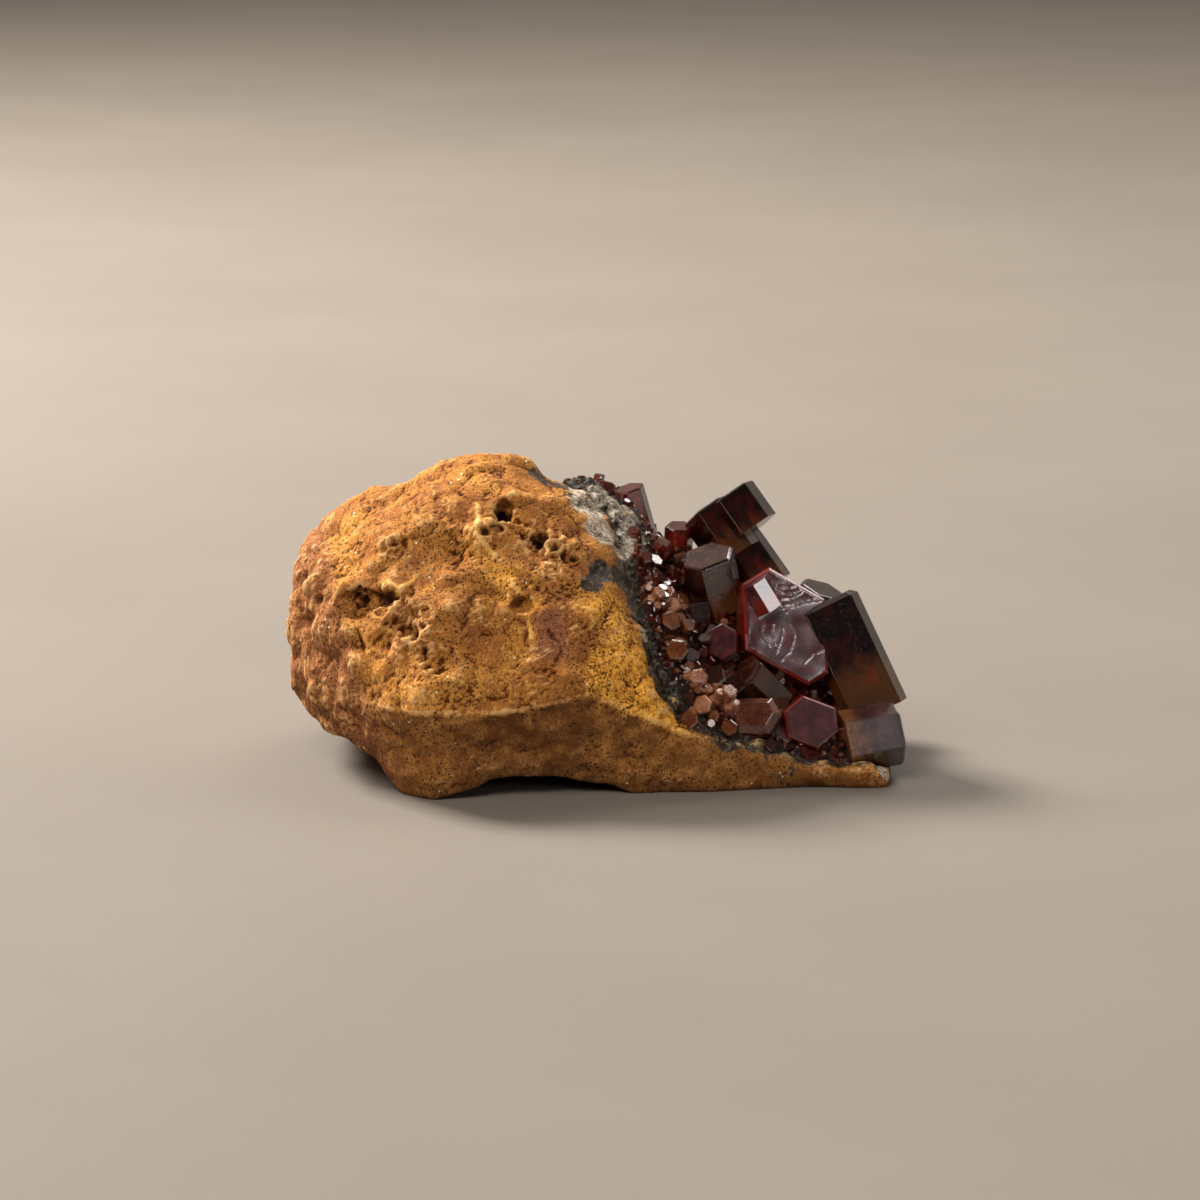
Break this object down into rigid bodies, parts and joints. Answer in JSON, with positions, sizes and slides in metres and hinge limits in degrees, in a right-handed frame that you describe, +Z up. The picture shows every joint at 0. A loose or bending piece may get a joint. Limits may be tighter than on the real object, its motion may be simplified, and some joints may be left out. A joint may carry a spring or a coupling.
{
  "type": "vanadinite crystal cluster",
  "caption": "Mineral specimen: dark red hexagonal vanadinite crystals and a crust of small ones on a lump of ochre rock; rests on a shelf as a display piece.",
  "frame": {"origin": "middle of the footprint, on the surface that the specimen rests on", "axes": "+Z up; +X along the specimen's long side, from the bare rock towards the crystals; the broken face looks towards -Y"},
  "size_m": [0.0802, 0.0542, 0.0394],
  "materials": {
    "ochre_rock": "rough broken rock, ochre to brown, with a dark grey band",
    "small_crystal_crust": "sparkling crust of small orange-brown crystals",
    "dark_red_crystal": "glossy crystal, dark red and partly see-through",
    "orange_red_crystal": "glossy crystal, orange-red and partly see-through"
  },
  "bodies": {
    "root": {"matrix_rock": "ochre_rock", "crystal_crust": "small_crystal_crust", "large_tabular_crystal": "dark_red_crystal", "upper_stepped_crystal": "dark_red_crystal", "upper_back_crystal": "dark_red_crystal", "bright_prism_crystal": "dark_red_crystal", "right_tall_crystal": "dark_red_crystal", "lower_right_crystal": "dark_red_crystal", "front_hexagon_crystal": "dark_red_crystal", "rounded_red_crystal": "orange_red_crystal", "ridge_crystal": "dark_red_crystal", "wall_crystal": "dark_red_crystal", "small_mauve_crystal": "dark_red_crystal", "shaded_prism_crystal": "dark_red_crystal", "back_grey_crystal": "dark_red_crystal", "brown_root_crystal": "orange_red_crystal", "small_wedge_crystal": "orange_red_crystal", "rear_slope_crystal": "dark_red_crystal", "rear_tabular_crystal": "dark_red_crystal", "rear_right_crystal": "dark_red_crystal", "right_low_crystal": "dark_red_crystal", "rear_ridge_crystal": "dark_red_crystal"}
  },
  "joints": []
}
